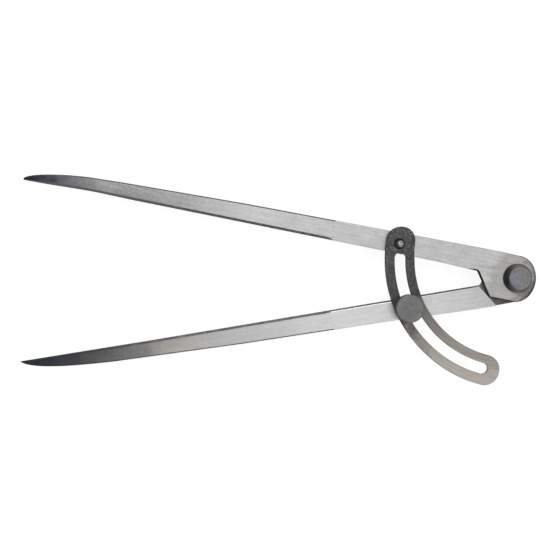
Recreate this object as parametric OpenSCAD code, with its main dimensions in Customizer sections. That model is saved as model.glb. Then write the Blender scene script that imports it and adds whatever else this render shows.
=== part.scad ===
// A scribing compass: two ground steel legs on a riveted lap joint, a slotted arc
// riveted to the front leg, and a thumb screw in the rear leg that clamps the arc.
// The joint's axis is Z. The front looks along +Z and the points lie towards -X.
// On a leg, u runs along the pivot's line, from the pivot to the point, and v from that line outwards.

/* [Legs] */
// Distance from the pivot's axis to the point
leg_len = 243; // [210:0.5:290]
// Thickness of the steel
leg_t = 6; // [5:0.1:8]
// Distance from the pivot's line to the outer edge beside the head
leg_w = 10.9; // [10.4:0.1:11.6]
// Distance from the pivot's line to the outer edge at the change of taper
leg_mid_w = 9.3; // [8.6:0.1:10.2]
// Distance from the pivot's line to the outer edge where the nose begins
leg_nose_w = 7.6; // [6.6:0.1:8.4]
// Distance from the pivot's axis to the change of taper
leg_mid_u = 135; // [120:1:140]
// Length of the curved nose
nose_len = 50; // [40:0.5:54]
// Length ahead of the nose over which the steel gets thinner
thin_lead = 10; // [6:0.5:14]
// Width and thickness that are left at the point
point_w = 0.4; // [0.2:0.05:1]
// Distance from the pivot's line to the inner edge
inner_off = 0.5; // [0:0.05:0.8]
// Width of the bevel along each long edge
bevel_w = 0.65; // [0.3:0.05:1]
// Depth of the bevel into the leg's side
bevel_d = 1; // [0.5:0.05:1.5]
// Distance from the pivot's axis to where the bevels begin
bevel_u = 91; // [80:1:100]
// Length over which a bevel runs out
bevel_run = 4; // [2:0.5:8]
// Angle between the two legs at rest
open_deg = 20.95; // [17:0.05:26]

/* [Head] */
// Radius of the head's round end
head_r = 12.6; // [12.4:0.1:13.4]
// Distance along the leg from the pivot to the middle of that radius
head_u = 3.9; // [3:0.1:4.6]
// Distance of that middle from the pivot's line, towards the inner side
head_v = 0.4; // [0.1:0.1:0.6]
// Distance from the pivot's line to the head's inner side
head_side = 11.5; // [10.8:0.1:11.9]
// Distance along the front leg's inner edge from the pivot to the neck's corner
neck_u = 19.3; // [18.6:0.1:19.4]
// Radius in that corner
neck_r = 4.5; // [1:0.1:5]
// Distance along the rear leg's inner edge from the pivot to the neck's corner
rear_neck_u = 17; // [16:0.1:18.4]
// Radius in that corner
rear_neck_r = 1.2; // [0.5:0.1:3]
// Distance by which the neck's slanted side runs back towards the pivot
neck_run = 8; // [7:0.1:8.4]
// Distance along the inner edge from the pivot to the lap's shoulder
shoulder_in_u = 19.1; // [19.1:0.1:20]
// Distance along the outer edge from the pivot to the lap's shoulder
shoulder_out_u = 12.5; // [12.5:0.1:14]

/* [Pivot] */
// Diameter of the pivot rivet's shank
pivot_d = 6; // [5:0.1:7]
// Diameter of the rivet's closed ends
pivot_end_d = 8; // [7.2:0.1:9]
// Depth of the countersinks that the closed ends fill
pivot_end_h = 1; // [0.5:0.1:1.5]
// Diameter of a pivot washer where it bears on the head
pivot_washer_d = 14; // [12:0.1:16]
// Diameter of a pivot washer's outer face
pivot_face_d = 10.3; // [9.4:0.1:11]
// Height of a pivot washer
pivot_washer_h = 3.75; // [2:0.05:5]
// Diameter of the friction washer between the two heads
shim_d = 17; // [14:0.1:17]
// Thickness of the friction washer
shim_t = 0.3; // [0.2:0.05:0.6]
// Clearance all round where a hole turns on a shaft
run_gap = 0.05; // [0.02:0.01:0.1]

/* [Arc] */
// Radius of the slot's middle line
arc_r = 53.4; // [50:0.1:60]
// Width of the arc
arc_w = 13.8; // [12:0.1:15]
// Thickness of the arc
arc_t = 2; // [1.5:0.1:3]
// Width of the slot
slot_w = 5.3; // [5.2:0.1:6]
// Distance along the arc from the rivet to the slot's first end
slot_from = 6.7; // [5.8:0.1:8]
// Distance along the arc between the slot's two end centres
slot_len = 70.6; // [66:0.2:74]
// Distance by which the arc's round ends lie beyond the rivet and the slot
arc_tail = 1.5; // [0.5:0.1:3]
// Distance along the front leg from the pivot to the arc's rivet
rivet_u = 59.1; // [57:0.1:62]
// Distance of the arc's rivet from the pivot's line
rivet_v = 4.86; // [4.4:0.01:5.4]
// Distance of the rivet outside the slot's middle line
rivet_off = 0.94; // [0:0.01:1.5]
// Diameter of the rivet's shank
rivet_d = 3; // [2.5:0.1:3.6]
// Diameter of the rivet's domed head
dome_d = 4.6; // [4.2:0.1:6]
// Height of the rivet's domed head
dome_h = 1.5; // [1:0.1:2]
// Diameter of the rivet's end at the back of the leg
rivet_end_d = 4.4; // [4:0.1:5]
// Depth of that end
rivet_end_h = 0.8; // [0.4:0.1:1.2]

/* [Clamp] */
// Distance along the rear leg from the pivot to the clamp screw
screw_u = 54.4; // [53:0.1:56]
// Distance of the clamp screw from the pivot's line
screw_v = 5.35; // [4.9:0.01:5.6]
// Distance of the clamp screw outside the slot's middle line at rest
screw_off = 1.09; // [0:0.01:1.1]
// Outer diameter of the clamp screw's thread
thread_d = 3.9; // [3.4:0.1:4.6]
// Diameter of the screw's waist, which floats in the slot
waist_d = 2.5; // [2:0.1:2.6]
// Depth of the waist below the leg's front face
waist_drop = 1.7; // [1.5:0.1:2]
// Distance from the screw's end to the leg's rear face when clamped
screw_end_gap = 0.3; // [0:0.1:1]
// Diameter of the screw's stub in the knob
stub_d = 4; // [3:0.1:5]
// Depth of the stub in the knob
stub_h = 3; // [2:0.1:3.6]
// Diameter of the knob
knob_d = 13.4; // [12:0.1:15]
// Height of the knob
knob_h = 4.6; // [4.2:0.1:7]
// Chamfer on the knob's two rims
knob_chamfer = 0.5; // [0.3:0.1:0.8]
// Number of grooves round the knob
knob_grooves = 40; // [24:1:48]
// Depth of a groove
groove_depth = 0.3; // [0.2:0.05:0.4]
// Diameter of the washer under the knob
clamp_washer_d = 10; // [9:0.1:11]
// Diameter of the washer's hole
clamp_hole_d = 4.3; // [4:0.1:4.8]
// Thickness of the washer
clamp_washer_t = 0.6; // [0.4:0.1:1.2]

/* [Hidden] */
$fn = 64;

// A little more than a face needs, so that a cut passes right through
past = 1;
// Amount by which a band's round ends are narrower than the band
end_step = 0.02;
// Shape of the nose and of the thinning, as powers
nose_round = 1.5;
nose_point = 0.6;
// Edge that the bevel starts from
bevel_edge = 0.05;
// Length by which the head's outline runs on into the leg
head_overlap = 4;
// Largest share of a section's half width or half thickness that a bevel takes
bevel_share = 0.6;

// Heights of the faces above the rear pivot washer's outer face
leg_back_z = pivot_washer_h;
leg_front_z = leg_back_z + leg_t;
lap_t = (leg_t - shim_t) / 2;
arc_front_z = leg_front_z + arc_t;
knob_back_z = arc_front_z + clamp_washer_t;
pivot_front_z = leg_front_z + pivot_washer_h;

nose_u = leg_len - nose_len;
thin_len = nose_len + thin_lead;
thin_u = leg_len - thin_len;
taper_u = shoulder_in_u;
join_u = shoulder_in_u + head_overlap;

// Directions of the legs' pivot lines, counted from +X
front_deg = 180 - open_deg / 2;
rear_deg = 180 + open_deg / 2;

// A place on a leg, seen in the compass
function turned(x, y, deg) = [x * cos(deg) - y * sin(deg), x * sin(deg) + y * cos(deg)];
function on_front(u, v) = turned(u, -v, front_deg);
function on_rear(u, v) = turned(u, v, rear_deg);

// The arc turns on its rivet until the slot meets the clamp screw
rivet_at = on_front(rivet_u, rivet_v);
screw_at = on_rear(screw_u, screw_v);
span = norm(screw_at - rivet_at);
along = (screw_at - rivet_at) / span;
across = [-along[1], along[0]];
rivet_arm = arc_r + rivet_off;
screw_arm = arc_r + screw_off;
arc_in = (rivet_arm ^ 2 - screw_arm ^ 2 + span ^ 2) / (2 * span);
arc_at = rivet_at + arc_in * along + sqrt(rivet_arm ^ 2 - arc_in ^ 2) * across;
arc_start_deg = atan2(rivet_at[1] - arc_at[1], rivet_at[0] - arc_at[0]);

// Angle that a length along the slot's middle line covers
function arc_deg(len) = len / arc_r * 180 / PI;

function mix(a, b, t) = a + (b - a) * t;
function nose(t) = pow(max(0, 1 - pow(t, nose_round)), nose_point);

// Inner edge, outer edge and half thickness of a leg at the distance u from the pivot
function inner_at(u) = u < thin_u ? inner_off : mix(inner_off, 0, (u - thin_u) / thin_len);
function outer_at(u) =
  u < leg_mid_u ? mix(leg_w, leg_mid_w, max(0, u - taper_u) / (leg_mid_u - taper_u)) :
  u < nose_u ? mix(leg_mid_w, leg_nose_w, (u - leg_mid_u) / (nose_u - leg_mid_u)) :
  max(point_w, leg_nose_w * nose((u - nose_u) / nose_len));
function half_t_at(u) =
  u < thin_u ? leg_t / 2 : max(point_w, leg_t * nose((u - thin_u) / thin_len)) / 2;

// Width of the bevel there, kept within a small section
function bevel_at(u) = min(
  mix(bevel_edge, bevel_w, min(1, (u - bevel_u) / bevel_run)),
  bevel_share * (outer_at(u) - inner_at(u)) / 2,
  bevel_share * half_t_at(u) * bevel_w / bevel_d
);

// One section of the bevelled blade, with eight corners
function ring(u) =
  let (i = inner_at(u), w = outer_at(u), h = half_t_at(u), b = bevel_at(u), d = b * bevel_d / bevel_w)
  [
    [u, i + b, h], [u, w - b, h], [u, w, h - d], [u, w, d - h],
    [u, w - b, -h], [u, i + b, -h], [u, i, d - h], [u, i, h - d]
  ];

// Where the sections lie: the run-out, the straight tapers, the thinning and the nose
nose_steps = 16;
thin_steps = 4;
stations = concat(
  [bevel_u, bevel_u + bevel_run / 2, bevel_u + bevel_run, leg_mid_u],
  [for (i = [0:thin_steps - 1]) mix(thin_u, nose_u, i / thin_steps)],
  [for (i = [0:nose_steps]) leg_len - nose_len * pow(1 - i / nose_steps, 2)]
);

// The bevelled blade, swept through its sections
module blade() {
  n = 8;
  last = len(stations) - 1;
  polyhedron(
    points = [for (u = stations) each ring(u)],
    faces = concat(
      [[for (j = [n - 1:-1:0]) j]],
      [for (i = [0:last - 1], j = [0:n - 1]) each [
        [i * n + j, i * n + (j + 1) % n, (i + 1) * n + j],
        [i * n + (j + 1) % n, (i + 1) * n + (j + 1) % n, (i + 1) * n + j]
      ]],
      [[for (j = [0:n - 1]) last * n + j]]
    )
  );
}

// Points round a neck's corner, from the inner edge to the head's slanted side
function neck_corner(corner_u, r) =
  let (slant = atan2(head_side + inner_off, neck_run), reach = r * tan(slant / 2), steps = 6)
  [for (i = [0:steps]) [
    corner_u + reach - r * sin(slant * i / steps),
    inner_off + r * cos(slant * i / steps) - r
  ]];

// Outline of the head up to the lap's shoulder, and a little into the leg beyond it
module head_outline(corner_u, r) {
  intersection() {
    translate([head_u, -head_v]) circle(head_r);
    translate([head_u - head_r, -head_side]) square([head_r, head_side + leg_w]);
  }
  polygon(concat(
    [[head_u, leg_w], [shoulder_in_u, leg_w], [join_u, leg_w / 2], [join_u, inner_off]],
    neck_corner(corner_u, r),
    [[corner_u - neck_run, -head_side], [head_u, -head_side]]
  ));
}

// A leg in its own frame: its middle plane at z = 0 and its head on the +z side
module leg_blank(corner_u, r) {
  translate([0, 0, shim_t / 2]) linear_extrude(lap_t) head_outline(corner_u, r);
  translate([0, 0, -leg_t / 2]) linear_extrude(leg_t) polygon([
    [shoulder_in_u, inner_off], [shoulder_out_u, leg_w], [taper_u, leg_w],
    [bevel_u, outer_at(bevel_u)], [bevel_u, inner_off]
  ]);
  blade();
}

// A hole through the leg's whole thickness
module leg_hole(u, v, d) {
  translate([u, v, -leg_t / 2 - past]) cylinder(h = leg_t + 2 * past, d = d);
}

module front_leg() {
  color("lightsteelblue") translate([0, 0, leg_back_z + leg_t / 2]) rotate(front_deg) mirror([0, 1, 0])
    difference() {
      leg_blank(neck_u, neck_r);
      leg_hole(0, 0, pivot_d);
      leg_hole(rivet_u, rivet_v, rivet_d);
      translate([rivet_u, rivet_v, -leg_t / 2])
        cylinder(h = rivet_end_h, d1 = rivet_end_d, d2 = rivet_d);
    }
}

module rear_leg() {
  color("lightgray") translate([0, 0, leg_back_z + leg_t / 2]) rotate(rear_deg) mirror([0, 0, 1])
    difference() {
      leg_blank(rear_neck_u, rear_neck_r);
      leg_hole(0, 0, pivot_d + 2 * run_gap);
      leg_hole(screw_u, screw_v, thread_d + 2 * run_gap);
    }
}

// The rivet's shank and its two closed ends, flush with the washers
module pivot_rivet() {
  color("dimgray") {
    cylinder(h = pivot_front_z, d = pivot_d);
    cylinder(h = pivot_end_h, d1 = pivot_end_d, d2 = pivot_d);
    translate([0, 0, pivot_front_z - pivot_end_h])
      cylinder(h = pivot_end_h, d1 = pivot_d, d2 = pivot_end_d);
  }
}

// A conical washer, with its wide face at z = 0
module pivot_washer() {
  difference() {
    cylinder(h = pivot_washer_h, d1 = pivot_washer_d, d2 = pivot_face_d);
    translate([0, 0, -past]) cylinder(h = pivot_washer_h + 2 * past, d = pivot_d);
    translate([0, 0, pivot_washer_h - pivot_end_h])
      cylinder(h = pivot_end_h, d1 = pivot_d, d2 = pivot_end_d);
  }
}

module front_pivot_washer() {
  color("darkslategray") translate([0, 0, leg_front_z]) pivot_washer();
}

module rear_pivot_washer() {
  color("darkslategray") translate([0, 0, leg_back_z]) mirror([0, 0, 1]) pivot_washer();
}

module friction_washer() {
  color("peru") translate([0, 0, leg_back_z + lap_t])
    difference() {
      cylinder(h = shim_t, d = shim_d);
      translate([0, 0, -past]) cylinder(h = shim_t + 2 * past, d = pivot_d + 2 * run_gap);
    }
}

// A curved band with round ends, w wide, over the lengths from and to along the slot's line
module band(w, from, to, h) {
  rotate(arc_deg(from)) rotate_extrude(angle = arc_deg(to - from), $fn = 180)
    translate([arc_r - w / 2, 0]) square([w, h]);
  for (s = [from, to]) rotate(arc_deg(s)) translate([arc_r, 0])
    cylinder(h = h, d = w - end_step);
}

module slotted_arc() {
  color("gray") translate([arc_at[0], arc_at[1], leg_front_z]) rotate(arc_start_deg)
    difference() {
      band(arc_w, -arc_tail, slot_from + slot_len + arc_tail, arc_t);
      translate([0, 0, -past]) band(slot_w, slot_from, slot_from + slot_len, arc_t + 2 * past);
      translate([rivet_arm, 0, -past])
        cylinder(h = arc_t + 2 * past, d = rivet_d + 2 * run_gap);
    }
}

// The arc's rivet: a shank, a domed head on the arc and a closed end behind the leg
module arc_rivet() {
  dome_r = (dome_d ^ 2 / 4 + dome_h ^ 2) / (2 * dome_h);
  color("silver") translate([rivet_at[0], rivet_at[1], 0]) {
    translate([0, 0, leg_back_z]) {
      cylinder(h = leg_t + arc_t, d = rivet_d);
      cylinder(h = rivet_end_h, d1 = rivet_end_d, d2 = rivet_d);
    }
    translate([0, 0, arc_front_z]) intersection() {
      translate([0, 0, dome_h - dome_r]) sphere(dome_r);
      cylinder(h = dome_h, d = dome_d);
    }
  }
}

// The screw: its thread in the rear leg, its waist in the slot and its stub in the knob
module clamp_screw() {
  thread_z = leg_back_z + screw_end_gap;
  waist_z = leg_front_z - waist_drop;
  color("slategray") translate([screw_at[0], screw_at[1], 0]) {
    translate([0, 0, thread_z]) cylinder(h = waist_z - thread_z, d = thread_d);
    translate([0, 0, waist_z]) cylinder(h = knob_back_z - waist_z, d = waist_d);
    translate([0, 0, knob_back_z]) cylinder(h = stub_h, d = stub_d);
  }
}

module clamp_knob() {
  body_h = knob_h - 2 * knob_chamfer;
  rim_d = knob_d - 2 * knob_chamfer;
  color("darkgray") translate([screw_at[0], screw_at[1], knob_back_z])
    difference() {
      union() {
        cylinder(h = knob_chamfer, d1 = rim_d, d2 = knob_d);
        translate([0, 0, knob_chamfer]) cylinder(h = body_h, d = knob_d);
        translate([0, 0, knob_h - knob_chamfer]) cylinder(h = knob_chamfer, d1 = knob_d, d2 = rim_d);
      }
      translate([0, 0, -past]) cylinder(h = stub_h + past, d = stub_d);
      for (i = [0:knob_grooves - 1]) rotate(i * 360 / knob_grooves)
        translate([knob_d / 2, 0, -past]) cylinder(h = knob_h + 2 * past, r = groove_depth, $fn = 4);
    }
}

module clamp_washer() {
  color("darkgray") translate([screw_at[0], screw_at[1], arc_front_z])
    difference() {
      cylinder(h = clamp_washer_t, d = clamp_washer_d);
      translate([0, 0, -past]) cylinder(h = clamp_washer_t + 2 * past, d = clamp_hole_d);
    }
}

front_leg();
rear_leg();
pivot_rivet();
front_pivot_washer();
rear_pivot_washer();
friction_washer();
slotted_arc();
arc_rivet();
clamp_screw();
clamp_knob();
clamp_washer();
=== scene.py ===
"""Looks of a scribing compass: detailed meshes, finishes, light and camera round the CAD frame.

Lengths in the first sections are in millimetres and become metres when a mesh is made.
On a leg, u runs along the pivot's line to the point and v from that line outwards.
"""

from dataclasses import dataclass
from math import asin, atan2, cos, degrees, hypot, pi, radians, sin, sqrt, tan

import bmesh
import bpy
import numpy as np
from mathutils import Matrix, Vector
from mathutils.geometry import tessellate_polygon


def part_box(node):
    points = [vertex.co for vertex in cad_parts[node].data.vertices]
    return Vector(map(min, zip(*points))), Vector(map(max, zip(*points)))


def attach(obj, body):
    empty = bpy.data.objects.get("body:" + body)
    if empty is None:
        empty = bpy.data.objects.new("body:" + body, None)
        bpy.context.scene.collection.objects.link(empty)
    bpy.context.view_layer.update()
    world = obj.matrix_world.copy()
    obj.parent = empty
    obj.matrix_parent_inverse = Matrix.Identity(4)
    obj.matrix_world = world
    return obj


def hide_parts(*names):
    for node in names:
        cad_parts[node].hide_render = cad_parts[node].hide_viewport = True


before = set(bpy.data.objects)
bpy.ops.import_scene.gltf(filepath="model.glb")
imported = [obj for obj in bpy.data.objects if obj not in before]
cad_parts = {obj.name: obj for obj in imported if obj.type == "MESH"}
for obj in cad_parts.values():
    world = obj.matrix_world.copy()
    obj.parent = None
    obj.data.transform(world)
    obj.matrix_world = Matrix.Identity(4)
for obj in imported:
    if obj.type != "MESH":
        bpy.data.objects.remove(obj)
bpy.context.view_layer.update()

MM = 0.001


def frame_box(node):
    """Lowest and highest corner of a CAD node, in millimetres."""
    low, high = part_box(node)
    return low / MM, high / MM


LEG_T = 6

# Heights and centres that the frame gives
LEG_FRONT_Z, PIVOT_FRONT_Z = (corner.z for corner in frame_box("front_pivot_washer"))
LEG_BACK_Z = LEG_FRONT_Z - LEG_T
ARC_BACK_Z, ARC_FRONT_Z = (corner.z for corner in frame_box("slotted_arc"))
KNOB_LOW, KNOB_HIGH = frame_box("clamp_knob")
RIVET_LOW, RIVET_HIGH = frame_box("arc_rivet")
KNOB_AT = (KNOB_LOW + KNOB_HIGH) / 2
RIVET_AT = (RIVET_LOW + RIVET_HIGH) / 2

# Legs: widths at the head, the middle and the nose, and lengths from the point
LEG_LEN = 243
LEG_W = 10.9
LEG_MID_W = 9.3
LEG_NOSE_W = 7.6
LEG_MID_U = 135
NOSE_LEN = 50
THIN_LEN = 60
POINT_W = 0.4
NOSE_ROUND = 1.5
NOSE_POINT = 0.6
INNER_OFF = 0.5
OPEN_DEG = 20.95
FRONT_DEG = 180 - OPEN_DEG / 2
REAR_DEG = 180 + OPEN_DEG / 2

# Bevels: where they start, how they run out there, and how deep and wide they are
BEVEL_U = 91
BEVEL_RUN = 4
BEVEL_D = 1
BEVEL_W = 0.65
INNER_BEVEL_W = 0.95
BEVEL_SHARE = 0.3
BEVEL_T_SHARE = 0.6

# Heads of the legs: radius of the round end, and the u and v of its middle
FRONT_HEAD = (13.3, 4.2, -0.55)
REAR_HEAD = (12.6, 3.9, -0.4)
HEAD_CORNER_R = 9
HEAD_DROP = 0.15
HEAD_DROP_U = 8
HEAD_GAP = 4
NECK_RUN = 8
HEEL_R = 0.4
SHOULDER_IN_U = 19.1
SHOULDER_OUT_U = 12.5
SHIM_T = 0.3

# How round a leg's edges are: along its outer side, round the head and along the neck
OUTER_EDGE_R = 0.5
HEAD_EDGE_R = 0.7
NECK_EDGE_R = 0.6

# Pivot
PIVOT_D = 6
PIVOT_END_D = 8
PIVOT_END_H = 1
PIVOT_WASHER_D = 14
PIVOT_FACE_D = 10.3
RUN_GAP = 0.05

# Arc
ARC_R = 53.4
ARC_W = 13.8
SLOT_W = 5.3
SLOT_FROM = 6.7
SLOT_LEN = 70.6
ARC_TAIL = 1.5
RIVET_OFF = 0.94
SCREW_OFF = 1.09
RIVET_D = 3


def mix(a, b, t):
    return a + (b - a) * t


def clamp(t):
    return max(0.0, min(1.0, t))


def smooth(t):
    t = clamp(t)
    return t * t * (3 - 2 * t)


# Meshes

# Smallest angle of a sharp edge, how nearly level a face is that stays flat, and the least share at a mitre
SHARP_DEG = 34
LEVEL_FROM = 0.99999
LEAST_MITRE = 0.2


def new_object(name, data):
    made = bpy.data.objects.new(name, data)
    bpy.context.scene.collection.objects.link(made)
    return made


class Shape:
    """Points and faces of one piece in millimetres, each face with a mark that picks its finish."""

    def __init__(self):
        self.points = []
        self.faces = []
        self.marks = []
        self.soft = []

    def ring(self, points):
        first = len(self.points)
        self.points.extend(tuple(p) for p in points)
        return list(range(first, len(self.points)))

    def face(self, corners, mark=0, soft=True):
        self.faces.append(tuple(corners))
        self.marks.append(mark)
        self.soft.append(soft)

    def strip(self, low, high, mark=0, soft=True, closed=True):
        """Faces between two rings; mark is a number, or a function of the place in the ring."""
        count = len(low)
        for i in range(count if closed else count - 1):
            j = (i + 1) % count
            name = mark(i) if callable(mark) else mark
            self.face((low[i], low[j], high[j], high[i]), name, soft)

    def cap(self, rings, mark=0):
        """A flat face inside the first ring and outside the others."""
        corners = [[Vector(self.points[n]) for n in ring] for ring in rings]
        flat = [n for ring in rings for n in ring]
        for triangle in tessellate_polygon(corners):
            self.face([flat[n] for n in triangle], mark, soft=False)

    def piece(self, name, finishes, matrix=None):
        """The Blender object, in metres, with its faces turned outwards."""
        mesh = bpy.data.meshes.new(name)
        mesh.from_pydata(self.points, [], self.faces)
        mesh.polygons.foreach_set("material_index", self.marks)
        mesh.polygons.foreach_set("use_smooth", self.soft)
        for finish in finishes:
            mesh.materials.append(finish)
        mesh.transform(Matrix.Scale(MM, 4) @ (matrix or Matrix()))
        turn_outwards(mesh)
        mark_edges(mesh)
        return new_object(name, mesh)


def turn_outwards(mesh):
    work = bmesh.new()
    work.from_mesh(mesh)
    bmesh.ops.remove_doubles(work, verts=work.verts, dist=1e-8)
    bmesh.ops.recalc_face_normals(work, faces=work.faces)
    work.to_mesh(mesh)
    work.free()


def mark_edges(mesh):
    """Keeps level faces flat and marks the sharp edges."""
    mesh.set_sharp_from_angle(angle=radians(SHARP_DEG))
    for face in mesh.polygons:
        if abs(face.normal.z) > LEVEL_FROM:
            face.use_smooth = False
    mesh.validate()
    mesh.update()


def inset_point(outline, i, inset):
    """A corner of a closed outline, moved inwards square to its two sides."""
    before, here, after = outline[i - 1], outline[i], outline[(i + 1) % len(outline)]
    first = (Vector(here) - Vector(before)).normalized()
    second = (Vector(after) - Vector(here)).normalized()
    normal = Vector((-first.y - second.y, first.x + second.x))
    share = 1 + first.dot(second)
    return Vector(here) + normal * inset / max(share, LEAST_MITRE)


def wall(shape, outline, profile_at, mark_at):
    """Rings from the back edge to the front edge round an outline. Returns the first and last ring.

    profile_at gives a corner's list of inset and height, and mark_at the mark of a face.
    """
    profiles = [profile_at(i) for i in range(len(outline))]
    rings = []
    for k in range(len(profiles[0])):
        points = []
        for i in range(len(outline)):
            inset, z = profiles[i][k]
            at = inset_point(outline, i, inset)
            points.append((at.x, at.y, z))
        rings.append(shape.ring(points))
    for k in range(len(rings) - 1):
        shape.strip(rings[k], rings[k + 1], lambda i, row=k: mark_at(i, row))
    return rings[0], rings[-1]


def round_edge(radius, z_low, z_high, steps=3):
    """A square edge from z_low to z_high with both corners rounded."""
    turns = [pi / 2 * n / steps for n in range(steps + 1)]
    low = [(radius * (1 - sin(a)), z_low + radius * (1 - cos(a))) for a in turns]
    high = [(radius * (1 - sin(a)), z_high - radius * (1 - cos(a))) for a in reversed(turns)]
    return low + high


def arc_points(centre, radius, start, end, steps):
    """Points along an arc, from one angle in degrees to another."""
    points = []
    for n in range(steps + 1):
        angle = radians(mix(start, end, n / steps))
        points.append((centre[0] + radius * cos(angle), centre[1] + radius * sin(angle)))
    return points


def turned(profile, marks, steps=96, radius_at=None):
    """A turned form, from a list of radius and height and a mark for each stretch of it."""
    shape = Shape()
    rings = []
    for k, (radius, z) in enumerate(profile):
        if radius <= 0:
            rings.append(shape.ring([(0, 0, z)]) * steps)
            continue
        points = []
        for n in range(steps):
            angle = 2 * pi * n / steps
            r = radius_at(k, angle) if radius_at else radius
            points.append((r * cos(angle), r * sin(angle), z))
        rings.append(shape.ring(points))
    for k, mark in enumerate(marks):
        low, high = rings[k], rings[k + 1]
        for n in range(steps):
            m = (n + 1) % steps
            corners = [low[n], low[m], high[m], high[n]]
            corners = [c for i, c in enumerate(corners) if c != corners[i - 1]]
            shape.face(corners, mark)
    return shape


def both_ends(half, low, high):
    """A profile from its lower end, given as radius and height, and the same upside down."""
    return [(r, low + z) for r, z in half] + [(r, high - z) for r, z in reversed(half)]


def cut(piece, cutter):
    """Takes the cutter's form out of a piece, and removes the cutter."""
    modifier = piece.modifiers.new("cut", "BOOLEAN")
    modifier.operation = "DIFFERENCE"
    modifier.solver = "EXACT"
    modifier.object = cutter
    graph = bpy.context.evaluated_depsgraph_get()
    mesh = bpy.data.meshes.new_from_object(piece.evaluated_get(graph))
    piece.modifiers.clear()
    piece.data = mesh
    mark_edges(mesh)
    bpy.data.objects.remove(cutter)


# Finishes

# The part of its span that a noise mostly fills
NOISE_LOW, NOISE_HIGH = 0.3, 0.7


def make_node(tree, kind, settings=None, inputs=None):
    """A shader node with its settings, and with its inputs set or linked by name or number."""
    made = tree.nodes.new("ShaderNode" + kind)
    for key, value in (settings or {}).items():
        setattr(made, key, value)
    for key, value in (inputs or {}).items():
        if isinstance(value, bpy.types.NodeSocket):
            tree.links.new(value, made.inputs[key])
        else:
            made.inputs[key].default_value = value
    return made


class Finish:
    """One procedural material; grazing is how much it reflects of light that skims the surface."""

    def __init__(self, name, metallic=1.0, grazing=1.0):
        self.material = bpy.data.materials.new(name)
        self.material.use_nodes = True
        self.tree = self.material.node_tree
        self.shader = self.tree.nodes["Principled BSDF"]
        self.shader.inputs["Metallic"].default_value = metallic
        self.shader.inputs["Specular Tint"].default_value = (grazing, grazing, grazing, 1)
        self.place = self.node("TexCoord").outputs["Object"]

    def node(self, kind, settings=None, inputs=None):
        return make_node(self.tree, kind, settings, inputs)

    def mapped(self, source=None, move=(0, 0, 0), turn=0.0, scale=(1, 1, 1)):
        """Coordinates that are scaled, turned about Z by degrees and moved."""
        inputs = {"Vector": source or self.place, "Location": move, "Scale": scale}
        inputs["Rotation"] = (0, 0, radians(turn))
        return self.node("Mapping", inputs=inputs).outputs[0]

    def noise(self, source, scale=1.0, detail=4.0, roughness=0.55):
        inputs = {"Vector": source, "Scale": scale, "Detail": detail, "Roughness": roughness}
        return self.node("TexNoise", inputs=inputs).outputs["Fac"]

    def math(self, operation, a, b=0.0):
        return self.node("Math", {"operation": operation}, {0: a, 1: b}).outputs[0]

    def add(self, a, b):
        return self.math("ADD", a, b)

    def less(self, a, b):
        return self.math("SUBTRACT", a, b)

    def times(self, a, b):
        return self.math("MULTIPLY", a, b)

    def ranged(self, value, low, high, to_low=0.0, to_high=1.0, kind="SMOOTHSTEP"):
        """A value that goes from to_low to to_high between low and high."""
        inputs = {"Value": value, "From Min": low, "From Max": high, "To Min": to_low, "To Max": to_high}
        return self.node("MapRange", {"interpolation_type": kind}, inputs).outputs[0]

    def swing(self, noise, low, high):
        """A noise stretched to go from low to high."""
        return self.ranged(noise, NOISE_LOW, NOISE_HIGH, low, high, "LINEAR")

    def tone(self, value):
        return self.node("CombineColor", inputs={0: value, 1: value, 2: value}).outputs[0]

    def blend(self, share, a, b, kind="MIX"):
        a, b = ((*c, 1) if isinstance(c, tuple) else c for c in (a, b))
        settings = {"data_type": "RGBA", "blend_type": kind}
        return self.node("Mix", settings, {0: share, 6: a, 7: b}).outputs[2]

    def split(self, source):
        return self.node("SeparateXYZ", inputs={0: source}).outputs

    def ramp(self, value, stops):
        """A colour that follows a value through a few stops of place and colour."""
        made = self.node("ValToRGB", inputs={0: value})
        elements = made.color_ramp.elements
        while len(elements) < len(stops):
            elements.new(0.5)
        for element, (place, colour) in zip(elements, stops):
            element.position = place
            element.color = (*colour, 1)
        return made.outputs[0]

    def done(self, colour, roughness, height, depth):
        """Links what the finish has worked out; depth is the bump's height in millimetres."""
        bump = self.node("Bump", inputs={"Height": height, "Distance": depth * MM}).outputs[0]
        for name, value in (("Base Color", colour), ("Roughness", roughness), ("Normal", bump)):
            self.tree.links.new(value, self.shader.inputs[name])
        return self.material


def grey(level, warm=0.0, blue=0.0):
    """A grey from its sRGB level, made warmer or cooler, with more or less blue."""
    value = level / 255
    linear = value / 12.92 if value <= 0.04045 else ((value + 0.055) / 1.055) ** 2.4
    return (linear * (1 + warm), linear, linear * (1 - warm + blue))


MM_SCALE = (1 / MM,) * 3


def leg_place(look, deg):
    """Coordinates along a leg: u is X and v is Y, in millimetres."""
    return look.mapped(turn=-deg, scale=MM_SCALE)


# Along a leg from the head's end to the burnt point: u, grey level, warmth and blue.
# On the front leg the stops from u -8 to -1 are painted shade, the head's rolled-off round end
# looking darker; the rest are heat colours.
FRONT_HEAT_AND_SHADE = (
    (-8, 112, 0.02), (-5, 126, 0.03), (-1, 158, 0.04), (7, 161, 0.03), (17, 182, 0.004),
    (130, 182, 0.004), (150, 166), (165, 149, 0.006), (188, 134, 0.006), (205, 137, 0.01),
    (212, 119, 0.0, 0.02), (222, 103, 0.02, 0.10), (234, 59, 0.02, 0.20), (242, 42, 0.0, 0.16),
)
REAR_HEAT = (
    (10, 170), (23, 181), (34, 187), (72, 200), (100, 199), (120, 187), (148, 174, 0.006),
    (166, 161, 0.05), (172, 156, 0.05), (188, 115, 0.02), (206, 89), (214, 72, -0.02, 0.05),
    (232, 55, -0.10, 0.28),
)
HEAT_FROM, HEAT_TO = -10, 245

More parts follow.
